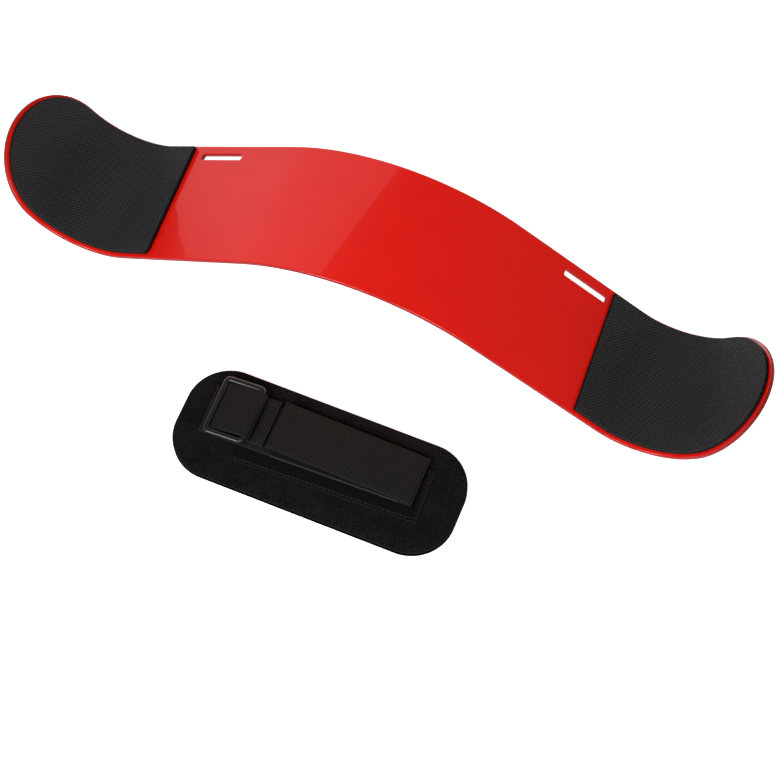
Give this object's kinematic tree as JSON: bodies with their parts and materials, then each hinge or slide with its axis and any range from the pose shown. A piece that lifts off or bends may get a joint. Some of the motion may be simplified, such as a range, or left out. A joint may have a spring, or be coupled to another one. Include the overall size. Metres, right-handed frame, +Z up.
{
  "type": "arm curl brace",
  "caption": "Bent metal strip with foam elbow pads and strap slots, beside its detached neck pad with a folded webbing strap and ring, for strict arm curls.",
  "frame": {"origin": "middle of the footprint of strip and neck pad together, on the surface they lie on", "axes": "+X along the metal strip, +Y from the neck pad towards the strip, +Z up"},
  "size_m": [0.6042, 0.2452, 0.1041],
  "materials": {
    "coated_metal": "gloss powder coat",
    "pad_foam": "matte, fine embossed diamond texture",
    "adhesive_film": "tacky film",
    "lining_fabric": "brushed knit",
    "core_foam": "closed-cell foam",
    "face_fabric": "brushed nap",
    "carrier_fabric": "plain weave",
    "webbing": "ribbed weave",
    "thread": "twisted thread",
    "loop_pile": "soft loop pile",
    "hook_nylon": "moulded hooks",
    "ring_plastic": "satin moulded"
  },
  "bodies": {
    "plate": {"plate": "coated_metal", "elbow_pad_left": "pad_foam", "elbow_pad_right": "pad_foam", "pad_adhesive_left": "adhesive_film", "pad_adhesive_right": "adhesive_film"},
    "neck_pad": {"neck_pad_lining": "lining_fabric", "neck_pad_core": "core_foam", "neck_pad_face": "face_fabric", "strap_base": "carrier_fabric", "strap_base_stitching": "thread", "strap_anchor": "webbing", "strap_anchor_stitching": "thread", "loop_tape": "loop_pile", "strap_fold": "webbing", "ring_loop": "webbing", "ring_loop_stitching": "thread"},
    "strap_tail": {"strap_tail": "webbing", "strap_tail_stitching": "thread", "hook_patch": "hook_nylon"},
    "buckle_ring": {"buckle_ring": "ring_plastic"}
  },
  "joints": [
    {"name": "neck_pad_lift", "type": "slide", "parent": "plate", "child": "neck_pad", "axis": [0, 0, 1], "range_m": [0, 0.15]},
    {"name": "buckle_ring_swing", "type": "hinge", "parent": "neck_pad", "child": "buckle_ring", "pos_m": [-0.0469, -0.06685, 0.0146], "axis": [0, 1, 0], "range_deg": [0, 100]},
    {"name": "strap_tail_peel", "type": "hinge", "parent": "neck_pad", "child": "strap_tail", "pos_m": [0.0853, -0.06845, 0.01045], "axis": [0, 1, 0], "range_deg": [0, 150], "deforming": ["strap_fold"]}
  ]
}
